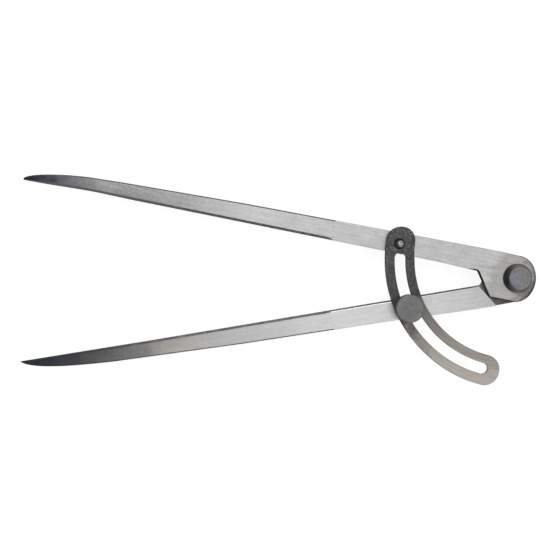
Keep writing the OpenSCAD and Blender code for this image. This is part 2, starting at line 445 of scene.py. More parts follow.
# How far clouds and streaks move the heat colours along the leg, and how they lean across it
HEAT_WANDER = 5
HEAT_STREAK = 2.5
HEAT_LEAN = 0.25
# How the grain is drawn out along the leg, and how deep it, specks and clouds are in the tone
FINE_DRAW = (0.06, 3.0, 3.0)
GRAIN_DRAW = (0.10, 1.0, 1.0)
GRAIN_DEPTH, SPECK_DEPTH, CLOUD_DEPTH = 0.10, 0.09, 0.05
# Where the burnt end begins, how much stronger its grain is, and how it slopes across the leg
BURNT_FROM, BURNT_TO = 130, 190
BURNT_STRENGTH = 1.8
BURNT_MID_V = 4.0
BURNT_SLOPE = 0.035
PIT_TONE = 0.75
# Painted shade of the head's rolled-off round end: its depth, which fades with v, and how far from the end
# it lies
RIM_SHADE_DEPTH, RIM_SHADE_FADED = 0.62, 0.05
RIM_FROM_V, RIM_TO_V = 1.0, 7.0
RIM_START, RIM_END = 2.0, 0.6
# Painted shade: the arc's shadow on the leg round the arc's rivet, seen through the slot's end
ARC_SHADE_R, ARC_SHADE_END_R = 4.9, 5.7
ARC_SHADE_SHARE = 0.9
ARC_SHADE_LEVEL = 66


def distance(look, x, y, at):
    across, up = look.less(x, at[0]), look.less(y, at[1])
    return look.math("SQRT", look.add(look.times(across, across), look.times(up, up)))


def ground_steel(name, deg, side, heat_and_shade, spread, arc_shade_at=None):
    """A ground face: grain along the leg, faint clouds, temper colours towards the point, and painted shade
    at the head's end and round the arc's rivet.

    side is the sign of v against Y, spread the strength of the grain, and the last argument the
    place of a dark spot of painted shade, the arc's shadow on the leg under its end.
    """
    look = Finish(name)
    place = leg_place(look, deg)
    u, y, _ = look.split(place)
    v = look.times(y, side)
    fine = look.noise(look.mapped(place, scale=FINE_DRAW), detail=5.0, roughness=0.65)
    grain = look.noise(look.mapped(place, scale=GRAIN_DRAW), detail=5.0, roughness=0.6)
    speck = look.noise(place, scale=0.8, roughness=0.6)
    cloud = look.noise(place, scale=0.13)
    along = look.add(u, look.swing(cloud, -HEAT_WANDER, HEAT_WANDER))
    along = look.add(along, look.swing(grain, -HEAT_STREAK, HEAT_STREAK))
    along = look.add(along, look.times(v, HEAT_LEAN))
    stops = [((u - HEAT_FROM) / (HEAT_TO - HEAT_FROM), grey(*tone)) for u, *tone in heat_and_shade]
    colour = look.ramp(look.ranged(along, HEAT_FROM, HEAT_TO, kind="LINEAR"), stops)
    change = 0.0
    for noise, depth in ((grain, GRAIN_DEPTH), (speck, SPECK_DEPTH), (cloud, CLOUD_DEPTH)):
        change = look.add(change, look.swing(noise, -depth * spread, depth * spread))
    burnt = look.ranged(u, BURNT_FROM, BURNT_TO)
    strength = look.ranged(burnt, 0, 1, 1.0, BURNT_STRENGTH, "LINEAR")
    shade = look.add(1.0, look.times(change, strength))
    slope = look.times(look.less(v, BURNT_MID_V), look.times(burnt, BURNT_SLOPE))
    shade = look.times(shade, look.add(1.0, slope))
    pits = look.noise(place, scale=1.7, detail=2.0)
    shade = look.times(shade, look.ranged(pits, 0.74, 0.80, 1.0, PIT_TONE))
    # Painted shade: the face darkens near the head's round end, most at low v
    head_r, head_u, head_v = FRONT_HEAD
    beyond = look.math("MINIMUM", look.less(u, head_u), 0.0)
    depth = look.ranged(v, RIM_FROM_V, RIM_TO_V, RIM_SHADE_DEPTH, RIM_SHADE_FADED)
    rim = look.ranged(distance(look, beyond, v, (0, head_v)), head_r - RIM_START, head_r - RIM_END)
    shade = look.times(shade, look.less(1.0, look.times(rim, depth)))
    colour = look.blend(1.0, colour, look.tone(shade), "MULTIPLY")
    # Painted shade: the arc's shadow darkens the leg round its rivet
    if arc_shade_at:
        spot = look.ranged(distance(look, u, v, arc_shade_at), ARC_SHADE_R, ARC_SHADE_END_R, ARC_SHADE_SHARE, 0.0)
        colour = look.blend(spot, colour, grey(ARC_SHADE_LEVEL, 0.03))
    return look.done(colour, look.swing(fine, 0.34, 0.46), fine, 0.012)


# Tones of the slit between the legs, painted lighter as painted light that lifts its shade, and of a side's
# start, and where the point's tone begins
SLIT_LIGHT_LEVEL = 118
START_LEVEL = 165
POINT_FROM, POINT_TO = 150, 225
DARK_DRAW = (0.12, 2.0, 2.0)


def dark_steel(name, deg, level, point_level=34, warm=0.0, lit_slit=None, start=None):
    """The dark, unground steel of a bevel or side, with drawn marks along the leg.

    A stretch of u may be given where the two legs leave a narrow slit; it is painted lighter, painted
    light that lifts the slit's shade. start is the stretch in which the ground tone fades into the dark
    one.
    """
    look = Finish(name, 0.75, 0.25)
    place = leg_place(look, deg)
    grain = look.noise(look.mapped(place, scale=DARK_DRAW), detail=5.0, roughness=0.6)
    cloud = look.noise(place, scale=0.35)
    share = look.ranged(look.add(grain, cloud), 0.75, 1.3)
    colour = look.blend(share, grey(level * 0.82, warm + 0.02), grey(level * 1.15, warm))
    along = look.split(place)[0]
    # Painted light: the slit between the legs is lighter, lifting its shade
    if lit_slit:
        first, last = lit_slit
        inside = look.ranged(along, first - 1, first + 1)
        inside = look.times(inside, look.ranged(along, last + 1, last - 1))
        colour = look.blend(inside, colour, grey(SLIT_LIGHT_LEVEL, 0.02, 0.08))
    if start:
        colour = look.blend(look.ranged(along, start[0], start[1]), grey(START_LEVEL), colour)
    point = look.ranged(along, POINT_FROM, POINT_TO)
    colour = look.blend(point, colour, grey(point_level, -0.04, 0.08))
    return look.done(colour, look.swing(grain, 0.46, 0.62), grain, 0.02)


# How far the border of the painted light on one side wanders, and the tone of rubbed spots
LIT_SIDE_WANDER = 1.2
RUBBED_LEVEL = 150


def black_oxide(name, level, roughness=0.4, worn=0.0, lit_side=None):
    """A blackened turned surface with a fine grain and a few rubbed spots.

    The last argument has two places along X, between which it fades into a third, lighter tone: painted
    light on the side towards +X.
    """
    look = Finish(name, 0.7, 0.4)
    place = look.mapped(scale=MM_SCALE)
    fine = look.noise(place, scale=6.0)
    cloud = look.noise(place, scale=0.9, detail=3.0)
    low, high = grey(level * 0.88, -0.02, 0.22), grey(level * 1.12, 0.01, 0.10)
    colour = look.blend(look.ranged(cloud, 0.35, 0.7), low, high)
    # Painted light: towards +X the tone fades into a lighter one
    if lit_side:
        first, last, tone = lit_side
        edge = look.noise(place, scale=0.6)
        along = look.add(look.split(place)[0], look.swing(edge, -LIT_SIDE_WANDER, LIT_SIDE_WANDER))
        colour = look.blend(look.ranged(along, first, last), colour, grey(tone, 0.04))
    spots = look.noise(place, scale=2.2)
    colour = look.blend(look.ranged(spots, 0.62, 0.75, 0.0, worn), colour, grey(RUBBED_LEVEL))
    return look.done(colour, look.swing(fine, roughness - 0.06, roughness + 0.08), fine, 0.012)


# Shares of grain and clouds in a turned face, half the span of its tones, and its bluish cast
TURNED_FINE, TURNED_CLOUD = 0.6, 0.3
TURNED_SPAN = 0.16
COOL_CAST = (1.06, 1.06, 1.20)


def turned_steel(name, centre, level, warm=0.0, ring_depth=0.35, roughness=0.42, cool=None):
    """A turned face: faint rings about its centre over a fine grain.

    cool has two places along X, from its centre, between which a bluish cast fades.
    """
    look = Finish(name, 0.9)
    place = look.mapped(move=(-centre.x, -centre.y, 0), scale=MM_SCALE)
    x, y, _ = look.split(place)
    rings_at = look.node("CombineXYZ", inputs={0: distance(look, x, y, (0, 0))}).outputs[0]
    rings = look.noise(rings_at, scale=4.5, detail=3.0)
    fine = look.noise(place, scale=4.0, detail=5.0, roughness=0.6)
    cloud = look.noise(place, scale=0.5, detail=3.0)
    shade = look.add(look.times(rings, ring_depth), look.times(fine, TURNED_FINE))
    shade = look.add(shade, look.times(cloud, TURNED_CLOUD))
    middle = (ring_depth + TURNED_FINE + TURNED_CLOUD) / 2
    share = look.ranged(shade, middle - TURNED_SPAN, middle + TURNED_SPAN)
    colour = look.blend(share, grey(level * 0.85, warm), grey(level * 1.14, warm))
    if cool:
        cast = look.ranged(x, cool[0], cool[1], 1.0, 0.0)
        colour = look.blend(cast, colour, COOL_CAST, "MULTIPLY")
    rough = look.swing(fine, roughness - 0.05, roughness + 0.08)
    return look.done(colour, rough, look.add(rings, fine), 0.012)


def plain_metal(name, colour, roughness, spread=0.1):
    """Small bright parts: a fine grain in colour and gloss."""
    look = Finish(name)
    place = look.mapped(scale=MM_SCALE)
    fine = look.noise(place, scale=5.0)
    cloud = look.noise(place, scale=0.8, detail=3.0)
    low = tuple(c * (1 - spread) for c in colour)
    high = tuple(min(1, c * (1 + spread)) for c in colour)
    shade = look.blend(look.ranged(cloud, 0.35, 0.65), low, high)
    return look.done(shade, look.swing(fine, roughness - 0.05, roughness + 0.08), fine, 0.01)


# How far the bright spot's border wanders, and half the width of its fade
DOME_WANDER = 0.25
DOME_FADE = 0.3


def hammered_steel(name, centre, bright_r):
    """A riveted dome: bright and pitted on top, dark beyond a radius."""
    look = Finish(name, 0.9, 0.5)
    place = look.mapped(move=(-centre.x, -centre.y, 0), scale=MM_SCALE)
    x, y, _ = look.split(place)
    edge = look.noise(place, scale=0.9, detail=3.0)
    radius = look.add(distance(look, x, y, (0, 0)), look.swing(edge, -DOME_WANDER, DOME_WANDER))
    pits = look.noise(place, scale=1.6, roughness=0.65)
    bright = look.blend(look.ranged(pits, 0.40, 0.66), grey(118), grey(180))
    beyond = look.ranged(radius, bright_r - DOME_FADE, bright_r + DOME_FADE)
    colour = look.blend(beyond, bright, grey(68, 0.01, 0.06))
    return look.done(colour, look.swing(pits, 0.45, 0.32), pits, 0.03)


# Where the clamp has rubbed the arc: how far from the rivet, how that border slants and wanders,
# and how long its fade is at the arc's inner and outer border
RUBBED_AT = 34.5
RUBBED_SLANT = 1.05
RUBBED_CLOUD, RUBBED_SCRATCH = 0.5, 0.3
FADE_IN, FADE_OUT = 1.2, 19.0
# Distance from the slot's line to where the tones across the arc end
ACROSS = 6
SCRATCH_DRAW = (0.1, 2.2, 1)


def arc_finish(name, centre, start_deg, light=1.0):
    """Blackened sheet steel, rubbed to a warm grey towards the free end.

    light makes the dark and the bright tones darker or lighter; the band's edges and sunk border take a
    darker copy, as painted shade.
    """
    look = Finish(name, 0.85)
    centred = look.mapped(move=(-centre[0] * MM, -centre[1] * MM, 0))
    place = look.mapped(centred, turn=-start_deg, scale=MM_SCALE)
    x, y, _ = look.split(place)
    along = look.times(look.math("ARCTAN2", y, x), ARC_R)
    out = look.less(distance(look, x, y, (0, 0)), ARC_R)
    band = look.node("CombineXYZ", inputs={0: along, 1: out}).outputs[0]
    cloud = look.noise(place, scale=0.32, detail=5.0)
    fine = look.noise(place, scale=3.2, detail=5.0, roughness=0.6)
    spots = look.noise(place, scale=0.9, detail=5.0, roughness=0.65)
    scratch = look.noise(look.mapped(band, scale=SCRATCH_DRAW), detail=5.0, roughness=0.65)

    edge = look.less(look.less(along, look.times(out, RUBBED_SLANT)), RUBBED_AT)
    edge = look.math("DIVIDE", edge, look.ranged(out, -ACROSS, ACROSS, FADE_IN, FADE_OUT, "LINEAR"))
    edge = look.add(edge, look.swing(cloud, -RUBBED_CLOUD, RUBBED_CLOUD))
    edge = look.add(edge, look.swing(scratch, -RUBBED_SCRATCH, RUBBED_SCRATCH))
    rubbed = look.ranged(edge, -1, 1)

    low, high = grey(57 * light, 0.0, 0.12), grey(74 * light, 0.03, 0.06)
    dark = look.blend(look.ranged(cloud, 0.35, 0.65), low, high)
    mottle = look.ranged(spots, 0.46, 0.68, 0.0, 0.75)
    mottle = look.times(mottle, look.ranged(along, 2, 22, 1.0, 0.4))
    dark = look.blend(mottle, dark, grey(112 * light, 0.0, 0.03))
    dark = look.blend(look.ranged(fine, 0.55, 0.75, 0.0, 0.5), dark, grey(98 * light))

    low, high = grey(138 * light, 0.08), grey(162 * light, 0.09)
    bright = look.blend(look.ranged(scratch, 0.35, 0.65), low, high)
    # The rubbed steel darkens towards the knob between 64 and 34 mm along, partly a fade of the wear and
    # partly painted shade of the knob; it is also darker towards the arc's inner border
    tone = look.ranged(along, 34, 64, 0.62, 1.0)
    tone = look.times(tone, look.ranged(out, -ACROSS, ACROSS, 0.74, 1.02))
    colour = look.blend(rubbed, dark, look.blend(1.0, bright, look.tone(tone), "MULTIPLY"))
    wear = look.add(rubbed, look.times(fine, 0.4))
    rough = look.ranged(wear, 0.1, 1.3, 0.55, 0.38, "LINEAR")
    height = look.add(fine, look.times(scratch, rubbed))
    return look.done(colour, rough, height, 0.015)


# A leg

FACE, BEVEL, SIDE, LAP = 0, 1, 2, 3
NOSE_U = LEG_LEN - NOSE_LEN
THIN_U = LEG_LEN - THIN_LEN
# The outer edge's last places beside the head
OUTER_END_US = (SHOULDER_IN_U, HEAD_DROP_U)
# How far before the bevel's start a face already counts as bevelled
MARK_SLACK = 0.5

# Facets across a rounded edge
EDGE_STEPS = 4
# Stations along a leg from the point: those of the nose, then each stretch's first u, last u and steps
NOSE_STEPS = 32
STRETCHES = (
    (NOSE_U, THIN_U, 4), (THIN_U, LEG_MID_U, 8), (LEG_MID_U, BEVEL_U + BEVEL_RUN, 4),
    (BEVEL_U + BEVEL_RUN, BEVEL_U, 10), (BEVEL_U, SHOULDER_IN_U + HEAD_GAP, 16),
)
# Steps round the head's corners and its end, the heel and the neck
CORNER_STEPS, ROUND_STEPS, HEEL_STEPS, NECK_STEPS = 16, 32, 6, 10


def between(table, u):
    """A value read off a table of u and value, which holds its end values beyond its ends."""
    return float(np.interp(u, *zip(*table)))


def nose(t):
    """How a leg narrows from 1 to 0 over its nose."""
    return max(0, 1 - t ** NOSE_ROUND) ** NOSE_POINT


def leg_half_t(u):
    if u < THIN_U:
        return LEG_T / 2
    return max(POINT_W, LEG_T * nose((u - THIN_U) / THIN_LEN)) / 2


def scoop(t):
    """How a bevel widens where it starts, like the run-out of a grinding wheel."""
    return sqrt(clamp(1 - (1 - clamp(t)) ** 2))


@dataclass
class LegForm:
    """The outline of one leg, and how its edges and sides are made.

    inner has places of the inner edge as u and v, swell how far the outer edge lies outside its
    plain line, and inner_mark the finish of the inner side up to the bevel.
    """

    head: tuple
    head_side: float
    neck_u: float
    neck_r: float
    inner_edge_r: float
    inner_mark: int
    inner: tuple
    swell: tuple

    def inner_at(self, u):
        """v of the inner edge."""
        return between(self.inner, u)

    def outer_at(self, u):
        """v of the outer edge."""
        if u < LEG_MID_U:
            plain = mix(LEG_W, LEG_MID_W, max(0, u - SHOULDER_IN_U) / (LEG_MID_U - SHOULDER_IN_U))
        elif u < NOSE_U:
            plain = mix(LEG_MID_W, LEG_NOSE_W, (u - LEG_MID_U) / (NOSE_U - LEG_MID_U))
        else:
            plain = max(POINT_W, LEG_NOSE_W * nose((u - NOSE_U) / NOSE_LEN))
        return plain + between(self.swell, u)

    def head_end(self):
        """The head's round end from the outer edge to the inner side, with both corners."""
        head_r, head_u, head_v = self.head
        reach = head_r - HEAD_CORNER_R
        outer_v = self.outer_at(0) - HEAD_DROP - HEAD_CORNER_R
        inner_v = HEAD_CORNER_R - self.head_side
        lean = degrees(asin((outer_v - head_v) / reach))
        drop = degrees(asin((head_v - inner_v) / reach))
        outer_at = (head_u - reach * cos(radians(lean)), outer_v)
        inner_at = (head_u - reach * cos(radians(drop)), inner_v)
        points = arc_points(outer_at, HEAD_CORNER_R, 90, 180 - lean, CORNER_STEPS)
        points += arc_points((head_u, head_v), head_r, 180 - lean, 180 + drop, ROUND_STEPS)[1:]
        points += arc_points(inner_at, HEAD_CORNER_R, 180 + drop, 270, CORNER_STEPS)[1:]
        return points

    def outline(self):
        """The leg seen square on, counter-clockwise from the point.

        Returns its corners, their roundness and bevel, and how many stations a long side has.
        """
        stations = [LEG_LEN - NOSE_LEN * (n / NOSE_STEPS) ** 2 for n in range(NOSE_STEPS)]
        for first, last, steps in STRETCHES:
            stations += [mix(first, last, n / steps) for n in range(steps)]
        stations.append(STRETCHES[-1][1])
        slant = degrees(atan2(self.head_side + INNER_OFF, NECK_RUN))
        half_turn = tan(radians(slant / 2))
        heel_at = (self.neck_u - NECK_RUN - HEEL_R * half_turn, HEEL_R - self.head_side)
        neck_at = (self.neck_u + self.neck_r * half_turn, self.inner_at(0) - self.neck_r)
        stretches = (
            ([(u, self.outer_at(u)) for u in (*stations, *OUTER_END_US)], OUTER_EDGE_R),
            (self.head_end(), HEAD_EDGE_R),
            (arc_points(heel_at, HEEL_R, -90, slant - 90, HEEL_STEPS), NECK_EDGE_R),
            (arc_points(neck_at, self.neck_r, 90 + slant, 90, NECK_STEPS), NECK_EDGE_R),
            ([(u, self.inner_at(u)) for u in reversed(stations)], self.inner_edge_r),
        )
        points = [point for stretch, _ in stretches for point in stretch]
        edges = [(edge_r, BEVEL_W) for stretch, edge_r in stretches[:-1] for _ in stretch]
        edges += [(self.inner_edge_r, INNER_BEVEL_W)] * len(stations)
        return points, edges, len(stations)

    def profile(self, u, edge):
        """Inset and height from the back face's edge to the front face's, at one place of the leg."""
        edge_r, bevel_w = edge
        half = leg_half_t(u)
        run = scoop((u - BEVEL_U) / BEVEL_RUN)
        width = self.outer_at(u) - self.inner_at(u)
        widest = min(BEVEL_SHARE * width, BEVEL_T_SHARE * half * bevel_w / BEVEL_D)
        inset = min(mix(edge_r, bevel_w, run), widest)
        depth = inset * mix(1, BEVEL_D / bevel_w, run)
        quarter = []
        for n in range(EDGE_STEPS + 1):
            straight = n / EDGE_STEPS
            angle = pi / 2 * straight
            quarter.append((
                inset * mix(1 - sin(angle), 1 - straight, run),
                depth * mix(1 - cos(angle), straight, run),
            ))
        back = [(across, drop - half) for across, drop in quarter]
        front = [(across, half - drop) for across, drop in reversed(quarter)]
        return back + front


FRONT_FORM = LegForm(
    FRONT_HEAD, head_side=11.5, neck_u=19.2, neck_r=2.2, inner_edge_r=0.25, inner_mark=FACE,
    inner=((24, 0.05), (30, 0.25), (38, 0.5), (190, 0.5), (208, 0.7), (214, 0.55), (222, 0.2),
           (232, -0.25), (240, -0.45)),
    swell=((203, 0.1), (208, 0.3), (213, 0.5), (223, 0.6), (236, 0.5), (241, 0.35), (243, 0.2)))
REAR_FORM = LegForm(
    REAR_HEAD, head_side=10.5, neck_u=17, neck_r=1.2, inner_edge_r=0.8, inner_mark=SIDE,
    inner=((183, 0.5), (243, 0)),
    swell=((22, 0.5), (32, 0.42), (45, 0.2), (62, 0), (203, 0), (213, 0.15), (223, 0.4),
           (234, 0.5), (240, 0.3), (243, 0)))


def leg_shape(form):
    """A leg of that form, with its head still as thick as the rest."""
    shape = Shape()
    outline, edges, count = form.outline()
    total = len(outline)
    last_row = 2 * EDGE_STEPS

    def mark_at(i, row):
        u = min(outline[i][0], outline[(i + 1) % total][0])
        is_inner = i >= total - count
        if u > BEVEL_U - MARK_SLACK:
            if row != EDGE_STEPS:
                return BEVEL
            return SIDE if is_inner else FACE
        if row in (0, last_row):
            return FACE
        if is_inner:
            return form.inner_mark
        return FACE if i < count + len(OUTER_END_US) else LAP

    def profile_at(i):
        return form.profile(outline[i][0], edges[i])

    back, front = wall(shape, outline, profile_at, mark_at)
    for ring in (back, front):
        outer = ring[:count]
        inner = ring[total - count:][::-1]
        shape.strip(outer, inner, FACE, True, closed=False)
        shape.cap([ring[count - 1:total - count + 1]], FACE)
    return shape


def prism(outline, z_low, z_high, mark=FACE, soft=True):
    """A straight cutter with that outline."""
    shape = Shape()
    low, high = (shape.ring([(x, y, z) for x, y in outline]) for z in (z_low, z_high))
    shape.strip(low, high, mark, soft)
    shape.cap([low], mark)
    shape.cap([high], mark)
    return shape


LAP_REACH = 20
LEG_HOLE_STEPS = 64


def lap_outline():
    """What is milled away behind the head, up to the slanting shoulder."""
    reach = LAP_REACH
    lean = (SHOULDER_OUT_U - SHOULDER_IN_U) / (LEG_W - INNER_OFF)
    return [
        (-reach, -reach), (SHOULDER_IN_U - lean * (reach + INNER_OFF), -reach),
        (SHOULDER_IN_U + lean * (reach - INNER_OFF), reach), (-reach, reach),
    ]


def make_leg(name, node, body, deg, flip, finishes, form, holes):
    """A leg with its lap and its holes, in place."""
    place = Matrix.Translation((0, 0, LEG_BACK_Z + LEG_T / 2))
    place = place @ Matrix.Rotation(radians(deg), 4, "Z") @ flip
    leg = leg_shape(form).piece(name, finishes, place)
    cutters = [prism(lap_outline(), -LEG_T, SHIM_T / 2, LAP, soft=False)]
    for u, v, radius in holes:
        circle = arc_points((u, v), radius, 0, 360, LEG_HOLE_STEPS)[:-1]
        cutters.append(prism(circle, -LEG_T, LEG_T))
    for cutter in cutters:
        cut(leg, cutter.piece("cutter", finishes, place))
    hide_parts(node)
    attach(leg, body)


def on_leg(at, deg, side):
    """u and v of a place in the compass, on the leg at that angle."""
    angle = radians(-deg)
    u = at.x * cos(angle) - at.y * sin(angle)
    v = at.x * sin(angle) + at.y * cos(angle)
    return u, v * side


MIRROR_Y = Matrix.Diagonal((1, -1, 1, 1))
MIRROR_Z = Matrix.Diagonal((1, 1, -1, 1))


def make_legs():
    rivet = on_leg(RIVET_AT, FRONT_DEG, -1)
    screw = on_leg(KNOB_AT, REAR_DEG, 1)
    # The lap finishes are painted lighter in the slit between the legs, as painted light
    front = [
        # The front leg's ground finish carries painted shade of the arc round the rivet
        ground_steel("front_leg_ground", FRONT_DEG, -1, FRONT_HEAT_AND_SHADE, 1.0, rivet),
        dark_steel("front_leg_bevel", FRONT_DEG, level=102, point_level=104),
        dark_steel("front_leg_side", FRONT_DEG, level=74, start=(90, 97)),
        dark_steel("front_leg_lap", FRONT_DEG, level=40, warm=0.04, lit_slit=(11.5, 15)),
    ]
    rear = [
        ground_steel("rear_leg_ground", REAR_DEG, 1, REAR_HEAT, 0.65),
        dark_steel("rear_leg_bevel", REAR_DEG, level=122, point_level=62),
        dark_steel("rear_leg_side", REAR_DEG, level=104),
        dark_steel("rear_leg_lap", REAR_DEG, level=96, warm=0.06, lit_slit=(12.5, 30)),
    ]
    make_leg("front_leg_steel", "front_leg", "root", FRONT_DEG, MIRROR_Y, front, FRONT_FORM,
             [(0, 0, PIVOT_D / 2), (*rivet, RIVET_D / 2)])
    make_leg("rear_leg_steel", "rear_leg", "rear_leg", REAR_DEG, MIRROR_Z, rear, REAR_FORM,
             [(0, 0, PIVOT_D / 2 + RUN_GAP), (*screw, THREAD_R + RUN_GAP)])


# The pivot

# Rounding of a washer's upper edge, the chamfer at its foot and the step down to the rivet's end
WASHER_EDGE_R = 0.7
WASHER_EDGE_STEPS = 4
WASHER_FOOT = 0.15
WASHER_STEP = 0.08
# The rivet's closed end: its seam and its draft
RIVET_SEAM = 0.06
RIVET_DRAFT = 0.02
SHIM_EDGE = 0.05
BRASS = (0.62, 0.42, 0.20)
# Marks of the pivot's turned forms
FLANK, TOP, RIM = 0, 1, 2


def washer_form():
    """Profile and marks of a conical pivot washer."""
    half = PIVOT_WASHER_D / 2
    top = PIVOT_FACE_D / 2
    shank = PIVOT_D / 2
    end = PIVOT_END_D / 2
    height = PIVOT_FRONT_Z - LEG_FRONT_Z
    lean = degrees(atan2(height, half - top))
    edge_at = (top - WASHER_EDGE_R * tan(radians(lean / 2)), height - WASHER_EDGE_R)
    upper = arc_points(edge_at, WASHER_EDGE_R, 90 - lean, 90, WASHER_EDGE_STEPS)
    profile = [
        (shank, 0), (half - WASHER_FOOT, 0), (half, WASHER_FOOT), *upper,
        (end + WASHER_STEP, height), (end, height - WASHER_STEP), (shank, height - PIVOT_END_H), (shank, 0),
    ]
    marks = [FLANK] * 3 + [RIM] * WASHER_EDGE_STEPS + [TOP] * 2 + [FLANK] * 2
    return profile, marks


def make_pivot():
    # Flank and rim get painted light on their side towards +X
    flank = black_oxide("washer_flank", 52, 0.42, lit_side=(-6, 1, 122))
    face = turned_steel("washer_face", Vector((0, 0, 0)), 115, cool=(-5, 3))
    rim = black_oxide("washer_rim", 84, 0.42, lit_side=(-6, 1, 124))
    sides = (
        ("front_washer_steel", "front_pivot_washer", Matrix.Translation((0, 0, LEG_FRONT_Z))),
        ("rear_washer_steel", "rear_pivot_washer", Matrix.Translation((0, 0, LEG_BACK_Z)) @ MIRROR_Z),
    )
    for name, node, place in sides:
        piece = turned(*washer_form()).piece(name, [flank, face, rim], place)
        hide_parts(node)
        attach(piece, "root")

    end = PIVOT_END_D / 2
    shank = PIVOT_D / 2
    half = [(0, 0), (end - RIVET_SEAM, 0), (end - RIVET_DRAFT, RIVET_SEAM), (shank, PIVOT_END_H)]
    profile = both_ends(half, 0, PIVOT_FRONT_Z)
    marks = [TOP, TOP, FLANK, FLANK, FLANK, TOP, TOP]
    rivet = turned(profile, marks).piece("pivot_rivet_steel", [flank, face])
    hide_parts("pivot_rivet")
    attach(rivet, "root")

    low, high = frame_box("friction_washer")
    radius = (high.x - low.x) / 2
    half = [(shank + RUN_GAP, 0), (radius - SHIM_EDGE, 0), (radius, SHIM_EDGE)]
    profile = both_ends(half, low.z, high.z)
    profile.append(profile[0])
    shim = turned(profile, [0] * 6).piece("friction_ring", [plain_metal("shim_metal", BRASS, 0.4)])
    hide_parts("friction_washer")
    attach(shim, "root")


# The arc

# Steps along the band, round its ends and round the rivet's hole
BAND_STEPS, BAND_END_STEPS, HOLE_STEPS = 60, 24, 48
ARC_EDGE_R = 0.22
# The sunk border of the rivet's hole: inset and depth below the face
SINK = ((0, 0.7), (0.5, 0.42), (0.95, 0.12), (1.15, 0))
# How much darker the band's edges and the rivet's sunk border are: a darker copy of the face's finish, as
# painted shade of the side walls and the recess
EDGE_SHADE = 0.85
FACE_MARK, EDGE_MARK = 0, 1


def arc_frame():
    """Centre of the arc and the direction of its start, from the rivet and the clamp screw."""
    rivet = Vector((RIVET_AT.x, RIVET_AT.y))
    screw = Vector((KNOB_AT.x, KNOB_AT.y))
    span = (screw - rivet).length
    along = (screw - rivet) / span
    across = Vector((-along.y, along.x))
    rivet_arm = ARC_R + RIVET_OFF
    screw_arm = ARC_R + SCREW_OFF
    inward = (rivet_arm ** 2 - screw_arm ** 2 + span ** 2) / (2 * span)
    centre = rivet + along * inward + across * sqrt(rivet_arm ** 2 - inward ** 2)
    start = rivet - centre
    return centre, degrees(atan2(start.y, start.x))


def band_outline(width, first, last):
    """A curved band with round ends, between two lengths along the slot's line."""
    start = degrees(first / ARC_R)
    end = degrees(last / ARC_R)
    half = width / 2
    first_at, last_at = (arc_points((0, 0), ARC_R, angle, angle, 1)[0] for angle in (start, end))
    outline = arc_points((0, 0), ARC_R + half, start, end, BAND_STEPS)
    outline += arc_points(last_at, half, end, end + 180, BAND_END_STEPS)[1:]
    outline += arc_points((0, 0), ARC_R - half, end, start, BAND_STEPS)[1:]
    outline += arc_points(first_at, half, start + 180, start + 360, BAND_END_STEPS)[1:-1]
    return outline


# How far the sheet reaches past the drawn band: outwards all along, and more at both ends
SWELL = 0.35
SWELL_START = 0.15
SWELL_END = 0.5
START_SHIFT = 0.5
START_LEN = 9
END_FROM, END_LEN = 45, 30


def swollen(outline):
    """The arc's outline, a little wider, most at the free end."""
    points = []
    for x, y in outline:
        radius = hypot(x, y)
        along = atan2(y, x) * ARC_R
        share = clamp(abs(radius - ARC_R) / (ARC_W / 2))
        start = smooth((START_LEN - along) / START_LEN)
        if radius > ARC_R:
            move = SWELL + SWELL_START * start + SWELL_END * smooth((along - END_FROM) / END_LEN)
        else:
            move = START_SHIFT * start
        radius += move * share
        points.append((radius * cos(along / ARC_R), radius * sin(along / ARC_R)))
    return points


def make_arc():
    centre, start = arc_frame()
    place = Matrix.Translation((centre.x, centre.y, 0)) @ Matrix.Rotation(radians(start), 4, "Z")
    face = arc_finish("arc_face", centre, start)
    # The edges take a darker copy of the face's finish, as painted shade
    edge = arc_finish("arc_edge", centre, start, EDGE_SHADE)
    shape = Shape()
    outer = swollen(band_outline(ARC_W, -ARC_TAIL, SLOT_FROM + SLOT_LEN + ARC_TAIL))
    slot = band_outline(SLOT_W, SLOT_FROM, SLOT_FROM + SLOT_LEN)[::-1]
    rivet_hole = arc_points((ARC_R + RIVET_OFF, 0), RIVET_D / 2 + RUN_GAP, 360, 0, HOLE_STEPS)[:-1]
    rounded = round_edge(ARC_EDGE_R, ARC_BACK_Z, ARC_FRONT_Z)
    sink = [(0, ARC_BACK_Z)] + [(inset, ARC_FRONT_Z - depth) for inset, depth in SINK]
    rings = []
    for outline, profile in ((outer, rounded), (slot, rounded), (rivet_hole, sink)):
        rings.append(wall(shape, outline, lambda i, p=profile: p, lambda i, row: EDGE_MARK))
    shape.cap([first for first, _ in rings], FACE_MARK)
    shape.cap([last for _, last in rings], FACE_MARK)
    arc = shape.piece("arc_plate", [face, edge], place)
    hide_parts("slotted_arc")
    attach(arc, "arc")


# The rivet's tail: radius, height and edge; how far its dome is set in, and its bright spot: how far it is
# moved towards +X, which leaves painted shade on the dome's left, and its radius
TAIL_R, TAIL_H, TAIL_EDGE = 2.2, 0.8, 0.05
DOME_SET_IN = 0.1
DOME_STEPS = 14
DOME_SHADE_SHIFT = 0.7
BRIGHT_R = 1.6
# Steps round a small turned form
SMALL_STEPS = 64


